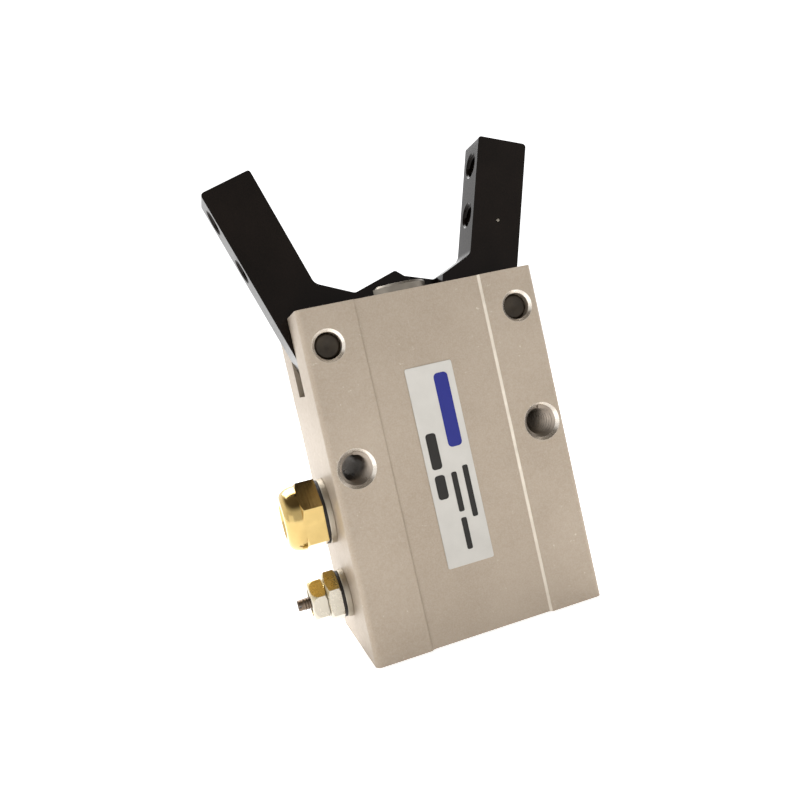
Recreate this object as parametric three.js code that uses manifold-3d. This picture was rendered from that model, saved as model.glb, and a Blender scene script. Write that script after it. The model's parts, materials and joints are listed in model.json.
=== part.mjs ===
// Angular two-finger pneumatic gripper, single acting: air closes the fingers and a spring opens them.
// Millimetres, +Z towards the fingertips. The origin is on the cylinder axis, in the plane of the base.
// The front face looks along -Y and both air fittings are on the left side, which looks along -X.
// The model is at rest with the fingers fully open.
import * as THREE from "three";
import { mergeVertices } from "three/addons/utils/BufferGeometryUtils.js";
import Module from "manifold-3d";

const wasm = await Module();
wasm.setup();

// Housing block
const WIDTH = 30.6;
const DEPTH = 21;
const HEIGHT = 43.5;
const CORNER_RADIUS = 0.8;
const PANEL_HALF_WIDTH = 7.5; // flat floor of the shallow panel on the front and back faces
const PANEL_DEPTH = 0.36;
const COVE_SWEEP = THREE.MathUtils.degToRad(55); // the panel's edges rise along an arc that ends this steep
const SLOT_FLOOR = 33.4;
const SLOT_HALF_WIDTH = 2.7;

// Cylinder, from the base up
const BORE_RADIUS = 8;
const CAP_BOTTOM = 1.7;
const CAP_TOP = 5.6;
const RING_GROOVE = { radius: 8.6, from: 0.7, to: 1.7 };
const CHAMBER_TOP = 27;
const GLAND = { radius: 6.6, top: 30.4 };
const BUSH_SEAT = { radius: 5.4, top: 33 };
const ROD_RADIUS = 4.5;
const ROD_PASSAGE_RADIUS = 4.7;

// Mounting holes
const MOUNT_X = 12.27;
const MOUNT_Z = 23.8;
const M4_CORE_RADIUS = 1.65;
const MOUNT_MOUTH_RADIUS = 2.35;
const BASE_SCREW = { x: 12.2, y: 7.3, radius: 1.25, depth: 6 };

// Fingers and their pivots
const PIVOT_X = 12.29;
const PIVOT_Z = 38.74;
const PIVOT_PIN_RADIUS = 1.6;
const PIVOT_HOLE_RADIUS = 1.65;
const PIVOT_HOLE_MOUTH = 1.95;
const PIVOT_PIN_RECESS = 1;
const OPEN_ANGLE = THREE.MathUtils.degToRad(17.5);
const FINGER_HALF_DEPTH = 2.6;
const FINGER = { outer: -3, inner: 3.95, tip: 23.9, root: 7.7 };
const ARM = { top: 4.15, bottom: -3.3, start: 8, lapStart: 7.6, end: 15.7 };
const HEEL_RADIUS = 5.1; // the finger's lower end, round its pivot and just clear of the slot's floor
const LAP_GAP = 0.05; // each arm's tip stays this far from the middle plane
const FINGER_SCREW = { radius: 1.25, mouth: 1.5, heights: [13.6, 20.6] };
const BUSH_OUTER_RADIUS = 2.2;

// Joint between the rod and the arms. The pin lies on the arms' centre lines at every angle.
const JOINT_PIN_Z = PIVOT_Z + PIVOT_X * Math.tan(OPEN_ANGLE);
const JOINT_PIN_RADIUS = 1.2;
const ROLLER_RADIUS = 2;
const ROD_TOP = JOINT_PIN_Z + 2.6;
const FORK_BOTTOM = JOINT_PIN_Z - 5.2;

// Piston, at the top of its stroke
const PISTON = { radius: 7.9, from: 17.6, to: 25.8 };
const SEAL_GROOVE = { radius: 6.2, from: 22.6, to: 24.4 };
const MAGNET_GROOVE = { radius: 6.4, from: 19, to: 21.6 };
const STUD = { radius: 2.4, from: 14.6 };
const STROKE = 4.95;
const STOP_TOP = STUD.from - STROKE - 0.1; // the end cap's post, just short of the stud at full stroke

// Return spring
const SPRING = { coilRadius: 5.9, wireRadius: 0.5, turns: 5.5 };

// Side ports and fittings, all on axes along X in the middle of the depth
const PORT_Z = 18.2;
const THROTTLE_Z = 7.1;
const SIDE_X = -WIDTH / 2;
const WASHER_X = SIDE_X - 0.75;
const FITTING_X = SIDE_X - 1.18;
const SMALL_GAP = 0.05; // running and seating clearance
const ROUND = 32; // sides of a large cylinder
const ROUND_SMALL = 20;

const COLOURS = {
  anodised: { color: 0xb9aa97, roughness: 0.45, metalness: 0.6 },
  blackSteel: { color: 0x1a1513, roughness: 0.5, metalness: 0.5 },
  steel: { color: 0xa8a49c, roughness: 0.3, metalness: 0.9 },
  brass: { color: 0xd9b254, roughness: 0.28, metalness: 0.95 },
  nickel: { color: 0xc3b8a2, roughness: 0.3, metalness: 0.9 },
  rubber: { color: 0x141312, roughness: 0.8, metalness: 0 },
  urethane: { color: 0xc98a3a, roughness: 0.6, metalness: 0 },
  aluminium: { color: 0xc8c6c2, roughness: 0.35, metalness: 0.8 },
  bronze: { color: 0x9b7442, roughness: 0.5, metalness: 0.8 },
  magnet: { color: 0x4a4a4e, roughness: 0.5, metalness: 0.4 },
  label: { color: 0xe6e3d6, roughness: 0.5, metalness: 0 },
};

// ---------- solids ----------

// A closed three.js geometry as a manifold-3d solid that faces outwards.
function solid(geometry) {
  const bare = geometry.clone();
  bare.deleteAttribute("normal");
  bare.deleteAttribute("uv");
  const merged = mergeVertices(bare, 1e-4);
  const vertProperties = merged.attributes.position.array;
  const triVerts = new Uint32Array(merged.index.array);
  const made = new wasm.Manifold(new wasm.Mesh({ numProp: 3, vertProperties, triVerts }));
  if (made.volume() > 0) return made;
  return new wasm.Manifold(
    new wasm.Mesh({ numProp: 3, vertProperties, triVerts: triVerts.reverse() }),
  );
}

// Turns a shape built along +Y so that it runs along the named axis, then moves it to its place.
// "across" holds the two other coordinates in X, Y, Z order.
function alongAxis(geometry, axis, across) {
  const [a, b] = across;
  if (axis === "x") geometry.rotateZ(-Math.PI / 2).translate(0, a, b);
  if (axis === "y") geometry.translate(a, 0, b);
  if (axis === "z") geometry.rotateX(Math.PI / 2).translate(a, b, 0);
  return geometry;
}

function cylinder(axis, radius, from, to, across = [0, 0], sides = ROUND) {
  return cone(axis, radius, radius, from, to, across, sides);
}

function cone(axis, radiusFrom, radiusTo, from, to, across = [0, 0], sides = ROUND) {
  const geometry = new THREE.CylinderGeometry(radiusTo, radiusFrom, to - from, sides);
  geometry.translate(0, (from + to) / 2, 0);
  return solid(alongAxis(geometry, axis, across));
}

// A solid of revolution about an axis; each point is [radius, place along the axis].
function turned(axis, points, across = [0, 0], sides = ROUND) {
  const profile = points.map(([radius, along]) => new THREE.Vector2(radius, along));
  return solid(alongAxis(new THREE.LatheGeometry(profile, sides), axis, across));
}

// A ring with a rectangular section.
function ring(axis, inner, outer, from, to, across = [0, 0], sides = ROUND) {
  const corners = [[inner, from], [outer, from], [outer, to], [inner, to], [inner, from]];
  return turned(axis, corners, across, sides);
}

// A ring with a round section.
function oRing(middleRadius, sectionRadius, z) {
  return solid(new THREE.TorusGeometry(middleRadius, sectionRadius, 8, 28).translate(0, 0, z));
}

function box(x0, x1, y0, y1, z0, z1) {
  const geometry = new THREE.BoxGeometry(x1 - x0, y1 - y0, z1 - z0);
  return solid(geometry.translate((x0 + x1) / 2, (y0 + y1) / 2, (z0 + z1) / 2));
}

// A flat shape in X and Z, with thickness from y0 to y1.
function plateY(shape, y0, y1) {
  const geometry = new THREE.ExtrudeGeometry(shape, {
    depth: y1 - y0,
    bevelEnabled: false,
    curveSegments: 8,
  });
  return solid(geometry.rotateX(Math.PI / 2).translate(0, y1, 0));
}

// A hexagon bar along X whose first corner is turned by "turn" from the front towards the top.
function hexBar(acrossFlats, from, to, z, turn) {
  const geometry = new THREE.CylinderGeometry(
    acrossFlats / Math.sqrt(3),
    acrossFlats / Math.sqrt(3),
    to - from,
    6,
  );
  geometry.rotateY(turn).translate(0, (from + to) / 2, 0);
  return solid(alongAxis(geometry, "x", [0, z]));
}

function joined(shapes) {
  return shapes.reduce((whole, shape) => whole.add(shape));
}

// What a drill takes out from one end to the other: the hole and a 45 degree mouth at each end.
function drilled(axis, radius, mouthRadius, from, to, across) {
  const mouthDepth = mouthRadius - radius;
  return joined([
    cylinder(axis, radius, from - 1, to + 1, across, ROUND_SMALL),
    cone(axis, mouthRadius + 1, radius, from - 1, from + mouthDepth, across, ROUND_SMALL),
    cone(axis, radius, mouthRadius + 1, to - mouthDepth, to + 1, across, ROUND_SMALL),
  ]);
}

function holeThroughDepth(radius, mouthRadius, x, z) {
  return drilled("y", radius, mouthRadius, -DEPTH / 2, DEPTH / 2, [x, z]);
}

function named(name, shape, colour) {
  const made = shape.getMesh();
  const geometry = new THREE.BufferGeometry();
  geometry.setAttribute("position", new THREE.BufferAttribute(made.vertProperties, 3));
  geometry.setIndex(new THREE.BufferAttribute(made.triVerts, 1));
  const material = new THREE.MeshStandardMaterial({ ...COLOURS[colour], flatShading: true });
  const mesh = new THREE.Mesh(geometry, material);
  mesh.name = name;
  return mesh;
}

// ---------- housing ----------

// The arc at one edge of the shallow panel, from the panel's floor to the face of the block.
function panelCove() {
  const radius = PANEL_DEPTH / (1 - Math.cos(COVE_SWEEP));
  const steps = 3;
  const points = [];
  for (let k = 0; k <= steps; k += 1) {
    const angle = (COVE_SWEEP * k) / steps;
    const out = DEPTH / 2 - PANEL_DEPTH + radius * (1 - Math.cos(angle));
    points.push([PANEL_HALF_WIDTH + radius * Math.sin(angle), out]);
  }
  return points;
}

// The block's plan: a rectangle with round corners and a shallow panel on its front and back.
function housingPlan() {
  const x = WIDTH / 2;
  const y = DEPTH / 2;
  const r = CORNER_RADIUS;
  const cove = panelCove();
  const plan = new THREE.Shape();
  plan.moveTo(-x + r, -y);
  for (const [across, out] of cove.toReversed()) plan.lineTo(-across, -out);
  for (const [across, out] of cove) plan.lineTo(across, -out);
  plan.absarc(x - r, -y + r, r, -Math.PI / 2, 0);
  plan.absarc(x - r, y - r, r, 0, Math.PI / 2);
  for (const [across, out] of cove.toReversed()) plan.lineTo(across, out);
  for (const [across, out] of cove) plan.lineTo(-across, out);
  plan.absarc(-x + r, y - r, r, Math.PI / 2, Math.PI);
  plan.absarc(-x + r, -y + r, r, Math.PI, Math.PI * 1.5);
  return plan;
}

function housingCavity() {
  const slot = box(-WIDTH, WIDTH, -SLOT_HALF_WIDTH, SLOT_HALF_WIDTH, SLOT_FLOOR, HEIGHT + 1);
  return cylinder("z", BORE_RADIUS, -1, CHAMBER_TOP)
    .add(cylinder("z", RING_GROOVE.radius, RING_GROOVE.from, RING_GROOVE.to))
    .add(cylinder("z", GLAND.radius, CHAMBER_TOP - 1, GLAND.top))
    .add(cylinder("z", BUSH_SEAT.radius, GLAND.top - 1, BUSH_SEAT.top))
    .add(cylinder("z", ROD_PASSAGE_RADIUS, BUSH_SEAT.top - 1, HEIGHT + 1))
    .add(slot);
}

function housingScrewHoles() {
  const holes = [];
  for (const side of [-1, 1]) {
    holes.push(holeThroughDepth(M4_CORE_RADIUS, MOUNT_MOUTH_RADIUS, side * MOUNT_X, MOUNT_Z));
    holes.push(holeThroughDepth(PIVOT_HOLE_RADIUS, PIVOT_HOLE_MOUTH, side * PIVOT_X, PIVOT_Z));
    for (const end of [-1, 1]) {
      const place = [side * BASE_SCREW.x, end * BASE_SCREW.y];
      holes.push(cylinder("z", BASE_SCREW.radius, -1, BASE_SCREW.depth, place, 12));
    }
  }
  return joined(holes);
}

// The inlet port with its slanting passage to the rod side, and the throttle's port to the spring side.
function housingAirWays() {
  const from = new THREE.Vector3(-11, 0, PORT_Z);
  const to = new THREE.Vector3(-7.9, 0, CHAMBER_TOP - 0.5);
  const slanted = new THREE.CylinderGeometry(0.6, 0.6, from.distanceTo(to), 12);
  const upright = new THREE.Vector3(0, 1, 0);
  const turn = new THREE.Quaternion().setFromUnitVectors(upright, to.clone().sub(from).normalize());
  slanted.applyQuaternion(turn).translate(...from.clone().add(to).multiplyScalar(0.5).toArray());
  return solid(slanted)
    .add(cylinder("x", 2.55, SIDE_X - 1, -10.2, [0, PORT_Z], ROUND_SMALL))
    .add(cylinder("x", 2.05, SIDE_X - 1, -11.2, [0, THROTTLE_Z], ROUND_SMALL))
    .add(cylinder("x", 1, -12, -6, [0, THROTTLE_Z], 12));
}

function housing() {
  const block = new THREE.ExtrudeGeometry(housingPlan(), {
    depth: HEIGHT,
    bevelEnabled: false,
    curveSegments: 4,
  });
  return solid(block)
    .subtract(housingCavity())
    .subtract(housingScrewHoles())
    .subtract(housingAirWays());
}

function namePlate() {
  const floor = -DEPTH / 2 + PANEL_DEPTH;
  return box(-3.9, 2.2, floor - 0.11, floor - 0.01, 8.9, 34);
}

function pivotPin(side) {
  const end = DEPTH / 2 - PIVOT_PIN_RECESS;
  const chamfer = 0.25;
  const points = [
    [0, -end],
    [PIVOT_PIN_RADIUS - chamfer, -end],
    [PIVOT_PIN_RADIUS, -end + chamfer],
    [PIVOT_PIN_RADIUS, end - chamfer],
    [PIVOT_PIN_RADIUS - chamfer, end],
    [0, end],
  ];
  return turned("y", points, [side * PIVOT_X, PIVOT_Z], ROUND_SMALL);
}

// ---------- cylinder ends ----------

// The end cap's middle stands through its retaining ring, level with the base. Its post stops the piston.
function endCap() {
  const points = [
    [0, 0],
    [5.6, 0],
    [6, 0.4],
    [6, CAP_BOTTOM],
    [7.9, CAP_BOTTOM],
    [7.9, 2.9],
    [6.7, 2.9],
    [6.7, 4.3],
    [7.9, 4.3],
    [7.9, CAP_TOP],
    [3.1, CAP_TOP],
    [3.1, STOP_TOP],
    [0, STOP_TOP],
  ];
  return turned("z", points);
}

// A spring ring with a gap and two ears, each with a hole for pliers.
function retainingRing() {
  const from = RING_GROOVE.from + SMALL_GAP;
  const to = RING_GROOVE.to - SMALL_GAP;
  const earX = 6.4;
  const earY = 2.1;
  let shape = ring("z", 7.1, RING_GROOVE.radius - SMALL_GAP, from, to);
  shape = shape.subtract(box(4, 10, -1.1, 1.1, 0, 3));
  for (const side of [-1, 1]) {
    const ear = cylinder("z", 0.95, from, to, [earX + 0.75, side * earY], 16);
    shape = shape.add(ear);
  }
  for (const side of [-1, 1]) {
    shape = shape.subtract(cylinder("z", 0.45, 0, 3, [earX + 0.75, side * earY], 12));
  }
  return shape;
}

function rodSeal() {
  const points = [
    [4.55, 28.3],
    [4.9, 28.3],
    [5.4, 29.2],
    [5.7, 29.2],
    [6.2, 28.3],
    [6.5, 28.3],
    [6.5, 30.3],
    [4.7, 30.3],
    [4.55, 28.3],
  ];
  return turned("z", points);
}

// ---------- piston and rod ----------

function piston() {
  const points = [
    [STUD.radius + SMALL_GAP, PISTON.from],
    [PISTON.radius, PISTON.from],
    [PISTON.radius, MAGNET_GROOVE.from],
    [MAGNET_GROOVE.radius, MAGNET_GROOVE.from],
    [MAGNET_GROOVE.radius, MAGNET_GROOVE.to],
    [PISTON.radius, MAGNET_GROOVE.to],
    [PISTON.radius, SEAL_GROOVE.from],
    [SEAL_GROOVE.radius, SEAL_GROOVE.from],
    [SEAL_GROOVE.radius, SEAL_GROOVE.to],
    [PISTON.radius, SEAL_GROOVE.to],
    [PISTON.radius, PISTON.to],
    [STUD.radius + SMALL_GAP, PISTON.to],
    [STUD.radius + SMALL_GAP, PISTON.from],
  ];
  return turned("z", points);
}

function pistonSeal() {
  const middle = (SEAL_GROOVE.from + SEAL_GROOVE.to) / 2;
  const points = [
    [6.25, middle - 0.8],
    [7.6, middle - 0.8],
    [7.95, middle - 0.5],
    [7.7, middle],
    [7.95, middle + 0.5],
    [7.6, middle + 0.8],
    [6.25, middle + 0.8],
    [6.25, middle - 0.8],
  ];
  return turned("z", points);
}

// The rod is a fork at its top and a threaded stud below the piston.
function pistonRod() {
  const chamfer = 0.3;
  const points = [
    [0, STUD.from],
    [STUD.radius, STUD.from],
    [STUD.radius, PISTON.to + SMALL_GAP],
    [ROD_RADIUS, PISTON.to + SMALL_GAP],
    [ROD_RADIUS, ROD_TOP - chamfer],
    [ROD_RADIUS - chamfer, ROD_TOP],
    [0, ROD_TOP],
  ];
  const fork = box(-6, 6, -SLOT_HALF_WIDTH, SLOT_HALF_WIDTH, FORK_BOTTOM, ROD_TOP + 1);
  const pinHole = cylinder("y", JOINT_PIN_RADIUS + SMALL_GAP, -6, 6, [0, JOINT_PIN_Z], ROUND_SMALL);
  return turned("z", points).subtract(fork).subtract(pinHole);
}

function pistonNut() {
  const acrossFlats = 6.6;
  const nut = cylinder("z", acrossFlats / Math.sqrt(3), 15, 17.5, [0, 0], 6);
  return nut.subtract(cylinder("z", STUD.radius + SMALL_GAP, 14, 19, [0, 0], ROUND_SMALL));
}

class Helix extends THREE.Curve {
  constructor(radius, from, to, turns) {
    super();
    Object.assign(this, { radius, from, to, turns });
  }

  getPoint(t, target = new THREE.Vector3()) {
    const angle = t * this.turns * 2 * Math.PI;
    const z = this.from + t * (this.to - this.from);
    return target.set(this.radius * Math.cos(angle), this.radius * Math.sin(angle), z);
  }
}

function returnSpring() {
  const { coilRadius, wireRadius, turns } = SPRING;
  const margin = wireRadius + 0.15;
  const path = new Helix(coilRadius, CAP_TOP + margin, PISTON.from - margin, turns);
  const section = new THREE.Shape();
  section.absarc(0, 0, wireRadius, 0, 2 * Math.PI);
  const geometry = new THREE.ExtrudeGeometry(section, {
    steps: Math.round(turns * 14),
    extrudePath: path,
    curveSegments: 4,
    bevelEnabled: false,
  });
  return solid(geometry);
}

// ---------- fingers ----------

// A finger's outline about its pivot, upright. "u" runs towards the middle of the gripper, "v" up.
// "side" is -1 for the left finger, whose middle is on its right.
function fingerOutline(side) {
  const toward = (u) => -side * u;
  const { outer, inner, tip, root } = FINGER;
  const { top, bottom, start, end } = ARM;
  const outline = new THREE.Shape();
  outline.moveTo(toward(outer), 0);
  outline.lineTo(toward(outer), tip);
  outline.lineTo(toward(inner), tip);
  outline.lineTo(toward(inner), root);
  outline.lineTo(toward(start), top);
  outline.lineTo(toward(14.2), top);
  outline.lineTo(toward(15.3), 2.4);
  outline.lineTo(toward(end), 0.4);
  outline.lineTo(toward(15.2), -2);
  outline.lineTo(toward(13.8), bottom);
  const first = Math.asin(-bottom / HEEL_RADIUS);
  const last = Math.PI - Math.acos(-outer / HEEL_RADIUS);
  outline.lineTo(toward(HEEL_RADIUS * Math.cos(first)), bottom);
  if (side < 0) outline.absarc(0, 0, HEEL_RADIUS, -first, -last, true);
  else outline.absarc(0, 0, HEEL_RADIUS, Math.PI + first, Math.PI + last, false);
  return outline;
}

// The slot in the arm's tip holds the roller on the joint pin, which slides along it as the finger turns.
function rollerSlot(side) {
  const radius = ROLLER_RADIUS + 0.1;
  const from = PIVOT_X;
  const to = PIVOT_X / Math.cos(OPEN_ANGLE);
  const ends = [from, to].map((u) => cylinder("y", radius, -4, 4, [-side * u, 0], ROUND_SMALL));
  const [x0, x1] = [-side * from, -side * to].sort((a, b) => a - b);
  return ends[0].add(ends[1]).add(box(x0, x1, -4, 4, -radius, radius));
}

// Tapped holes across the finger for the tooling that it carries.
function fingerScrewHoles(side) {
  const { radius, mouth, heights } = FINGER_SCREW;
  const [from, to] = [-side * FINGER.outer, -side * FINGER.inner].sort((a, b) => a - b);
  return joined(heights.map((v) => drilled("x", radius, mouth, from, to, [0, v])));
}

// The arms' tips pass each other: the left one keeps to the front and the right one to the back.
function lapCut(side) {
  const [x0, x1] = [-side * ARM.lapStart, -side * (ARM.end + 1)].sort((a, b) => a - b);
  const [y0, y1] = side < 0 ? [-LAP_GAP, 4] : [-4, LAP_GAP];
  return box(x0, x1, y0, y1, -6, 6);
}

// Leans an upright piece outwards about its pivot and puts it in its place.
function leanOut(shape, side) {
  const degrees = THREE.MathUtils.radToDeg(OPEN_ANGLE);
  return shape.rotate([0, side * degrees, 0]).translate([side * PIVOT_X, 0, PIVOT_Z]);
}

function finger(side) {
  const pivotHole = cylinder("y", BUSH_OUTER_RADIUS + SMALL_GAP, -5, 5, [0, 0], ROUND_SMALL);
  const upright = plateY(fingerOutline(side), -FINGER_HALF_DEPTH, FINGER_HALF_DEPTH)
    .subtract(pivotHole)
    .subtract(rollerSlot(side))
    .subtract(fingerScrewHoles(side))
    .subtract(lapCut(side));
  return leanOut(upright, side);
}

function fingerBush(side) {
  const inner = PIVOT_PIN_RADIUS + SMALL_GAP;
  const half = FINGER_HALF_DEPTH;
  return ring("y", inner, BUSH_OUTER_RADIUS, -half, half, [side * PIVOT_X, PIVOT_Z], ROUND_SMALL);
}

function roller(side) {
  const inner = JOINT_PIN_RADIUS + SMALL_GAP;
  const [from, to] = side < 0 ? [-2.5, -0.15] : [0.15, 2.5];
  return ring("y", inner, ROLLER_RADIUS, from, to, [0, JOINT_PIN_Z], ROUND_SMALL);
}

// ---------- fittings on the left side ----------

// A hexagon whose outer corners are cut by a cone, with a round end beyond it.
function capNut() {
  const acrossFlats = 8.2;
  const inner = FITTING_X;
  const hexEnd = inner - 2.7;
  const end = inner - 4.9;
  const turn = THREE.MathUtils.degToRad(18);
  const envelope = [
    [0, end],
    [2.9, end],
    [3.6, end + 0.4],
    [4.1, end + 1.4],
    [4.25, hexEnd],
    [4.8, hexEnd + 0.35],
    [4.8, inner],
    [0, inner],
  ];
  return hexBar(acrossFlats, end - 1, inner, PORT_Z, turn)
    .add(cylinder("x", 4.3, end - 1, hexEnd, [0, PORT_Z]))
    .intersect(turned("x", envelope, [0, PORT_Z]))
    .subtract(cylinder("x", 2.1, end - 1, inner - 1.6, [0, PORT_Z], ROUND_SMALL))
    .subtract(cylinder("x", 2.75, inner - 1.6, inner + 1, [0, PORT_Z], ROUND_SMALL));
}

// The threaded stub in the port, with the sleeve that the cap nut closes on.
function portStub() {
  const inner = -11.1;
  const outer = FITTING_X - 1.5;
  const points = [
    [0.9, inner],
    [2.5, inner],
    [2.5, SIDE_X],
    [2.6, SIDE_X],
    [2.6, outer],
    [0.9, outer],
    [0.9, inner],
  ];
  return turned("x", points, [0, PORT_Z], ROUND_SMALL);
}

function tubeFerrule() {
  const outer = FITTING_X - 4.3;
  return ring("x", 1.25, 2.05, outer, FITTING_X - 1.65, [0, PORT_Z], ROUND_SMALL);
}

function throttleBody() {
  const inner = FITTING_X;
  const outer = inner - 1.75;
  const turn = THREE.MathUtils.degToRad(27);
  const envelope = [
    [0, outer],
    [3, outer],
    [3.45, outer + 0.3],
    [3.45, inner - 0.2],
    [3.2, inner],
    [0, inner],
  ];
  const hexagon = hexBar(5.95, outer, inner, THROTTLE_Z, turn)
    .intersect(turned("x", envelope, [0, THROTTLE_Z]));
  return hexagon
    .add(cylinder("x", 2, inner - 0.1, -11.6, [0, THROTTLE_Z], ROUND_SMALL))
    .add(cylinder("x", 1.75, outer - 1.9, outer + 0.1, [0, THROTTLE_Z], ROUND_SMALL))
    .subtract(cylinder("x", 0.85, outer - 3, -11, [0, THROTTLE_Z], ROUND_SMALL));
}

function lockNut() {
  const inner = FITTING_X - 1.9;
  const outer = inner - 1.95;
  const turn = THREE.MathUtils.degToRad(22);
  const envelope = [
    [0, outer],
    [2.1, outer],
    [2.6, outer + 0.45],
    [2.8, outer + 1.1],
    [2.8, inner - 0.15],
    [2.6, inner],
    [0, inner],
  ];
  return hexBar(4.85, outer, inner, THROTTLE_Z, turn)
    .intersect(turned("x", envelope, [0, THROTTLE_Z]))
    .subtract(cylinder("x", 1.8, outer - 1, inner + 1, [0, THROTTLE_Z], ROUND_SMALL));
}

// The needle's slotted head stands out of the lock nut and its cone closes the passage.
function throttleNeedle() {
  const outer = -22;
  const points = [
    [0, outer],
    [0.65, outer],
    [0.8, outer + 0.15],
    [0.8, -12.6],
    [0.25, -10.6],
    [0, -10.6],
  ];
  const slot = box(outer - 1, outer + 0.5, -1, 1, THROTTLE_Z - 0.14, THROTTLE_Z + 0.14);
  return turned("x", points, [0, THROTTLE_Z], ROUND_SMALL).subtract(slot);
}

// A metal washer on the side face and a rubber seal between it and a fitting.
function washer(z, inner, outer) {
  return ring("x", inner, outer, WASHER_X, SIDE_X, [0, z], ROUND);
}

function faceSeal(z, inner, outer) {
  return ring("x", inner, outer, FITTING_X, WASHER_X, [0, z], ROUND);
}

// ---------- the whole gripper ----------

const gripper = new THREE.Group();

gripper.add(
  named("housing", housing(), "anodised"),
  named("name_plate", namePlate(), "label"),
  named("end_cap", endCap(), "aluminium"),
  named("end_cap_o_ring", oRing(7.33, 0.6, 3.6), "rubber"),
  named("end_cap_retaining_ring", retainingRing(), "steel"),
  named("rod_bush", ring("z", 4.55, 5.35, 30.45, 32.95), "bronze"),
  named("rod_seal", rodSeal(), "rubber"),
  named("rod_seal_washer", ring("z", 4.8, 6.55, 27.1, 28.2), "steel"),
  named("piston_bumper", ring("z", 5.2, 7.5, 25.9, 26.95), "urethane"),
  named("return_spring", returnSpring(), "steel"),
);

gripper.add(
  named("inlet_washer", washer(PORT_Z, 2.7, 4.3), "nickel"),
  named("inlet_face_seal", faceSeal(PORT_Z, 2.7, 4.2), "rubber"),
  named("inlet_stub", portStub(), "brass"),
  named("inlet_cap_nut", capNut(), "brass"),
  named("inlet_ferrule", tubeFerrule(), "bronze"),
  named("throttle_washer", washer(THROTTLE_Z, 2.1, 3.15), "nickel"),
  named("throttle_face_seal", faceSeal(THROTTLE_Z, 2.1, 3), "rubber"),
  named("throttle_body", throttleBody(), "brass"),
  named("throttle_lock_nut", lockNut(), "nickel"),
  named("throttle_needle", throttleNeedle(), "steel"),
);

gripper.add(
  named("piston", piston(), "aluminium"),
  named("piston_seal", pistonSeal(), "rubber"),
  named("piston_magnet", ring("z", 6.45, 7.6, 19.05, 21.55), "magnet"),
  named("piston_rod", pistonRod(), "steel"),
  named("piston_nut", pistonNut(), "steel"),
  named("joint_pin", cylinder("y", JOINT_PIN_RADIUS, -4.2, 4.2, [0, JOINT_PIN_Z], ROUND_SMALL), "steel"),
);

for (const [word, side] of [["left", -1], ["right", 1]]) {
  gripper.add(
    named(`finger_${word}`, finger(side), "blackSteel"),
    named(`finger_bush_${word}`, fingerBush(side), "bronze"),
    named(`pivot_pin_${word}`, pivotPin(side), "blackSteel"),
    named(`joint_roller_${word}`, roller(side), "steel"),
  );
}

export default gripper;
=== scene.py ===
"""The looks of a two-finger air gripper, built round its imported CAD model.

Shapes are built in millimetres, in the CAD model's frame, and scaled to metres when they are dressed.
+Z runs to the fingertips, -Y out of the front face, and both air fittings are on the -X side.
"""

import json
import math

import bmesh
import bpy
from mathutils import Matrix, Vector


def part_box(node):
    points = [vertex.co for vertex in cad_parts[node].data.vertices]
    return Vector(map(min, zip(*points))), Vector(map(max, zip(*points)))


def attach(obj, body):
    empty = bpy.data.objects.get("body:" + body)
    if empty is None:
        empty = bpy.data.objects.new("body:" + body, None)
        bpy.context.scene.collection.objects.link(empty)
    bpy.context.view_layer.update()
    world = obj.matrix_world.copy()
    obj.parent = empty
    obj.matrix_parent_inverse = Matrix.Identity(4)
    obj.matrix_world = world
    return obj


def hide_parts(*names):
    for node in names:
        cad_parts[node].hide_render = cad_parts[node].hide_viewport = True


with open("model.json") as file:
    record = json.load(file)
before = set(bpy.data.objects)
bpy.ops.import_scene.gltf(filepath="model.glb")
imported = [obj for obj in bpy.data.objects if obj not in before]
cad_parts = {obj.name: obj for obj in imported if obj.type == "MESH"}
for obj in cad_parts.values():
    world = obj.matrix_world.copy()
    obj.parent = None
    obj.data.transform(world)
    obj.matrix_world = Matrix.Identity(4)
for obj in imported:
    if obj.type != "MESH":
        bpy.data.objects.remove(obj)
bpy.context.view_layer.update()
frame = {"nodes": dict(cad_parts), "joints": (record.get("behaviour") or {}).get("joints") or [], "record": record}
MM = 0.001
FINE = 96  # sides of a full circle

# Bodies
HOUSING, PISTON, NEEDLE = "housing_body", "piston_body", "needle_body"
SIDES = {"left": -1, "right": 1}


def box_mm(node):
    """A CAD node's lowest and highest corner, in millimetres."""
    low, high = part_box(node)
    return low / MM, high / MM


def joint_mm(name):
    """A joint's place, in millimetres."""
    joint = next(j for j in frame["joints"] if j["name"] == name)
    return Vector(joint["pos_m"]) / MM


# Sizes that come from the CAD model
LOW, HIGH = box_mm("housing")
HALF_WIDTH, HALF_DEPTH, HEIGHT = HIGH.x, HIGH.y, HIGH.z
SIDE_X = LOW.x
PIVOT = joint_mm("finger_right_pivot")
PORT_Z = sum(c.z for c in box_mm("inlet_washer")) / 2
THROTTLE_Z = sum(c.z for c in box_mm("throttle_washer")) / 2
WASHER_X = box_mm("inlet_washer")[0].x
FITTING_X = box_mm("inlet_face_seal")[0].x
CAP_NUT_END = box_mm("inlet_cap_nut")[0].x
LOCK_NUT_LOW, LOCK_NUT_HIGH = (c.x for c in box_mm("throttle_lock_nut"))
NEEDLE_END = box_mm("throttle_needle")[0].x
ROD_TOP = box_mm("piston_rod")[1].z
FORK_PIN_Z = sum(c.z for c in box_mm("joint_pin")) / 2
PLATE_LOW, PLATE_HIGH = box_mm("name_plate")

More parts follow.
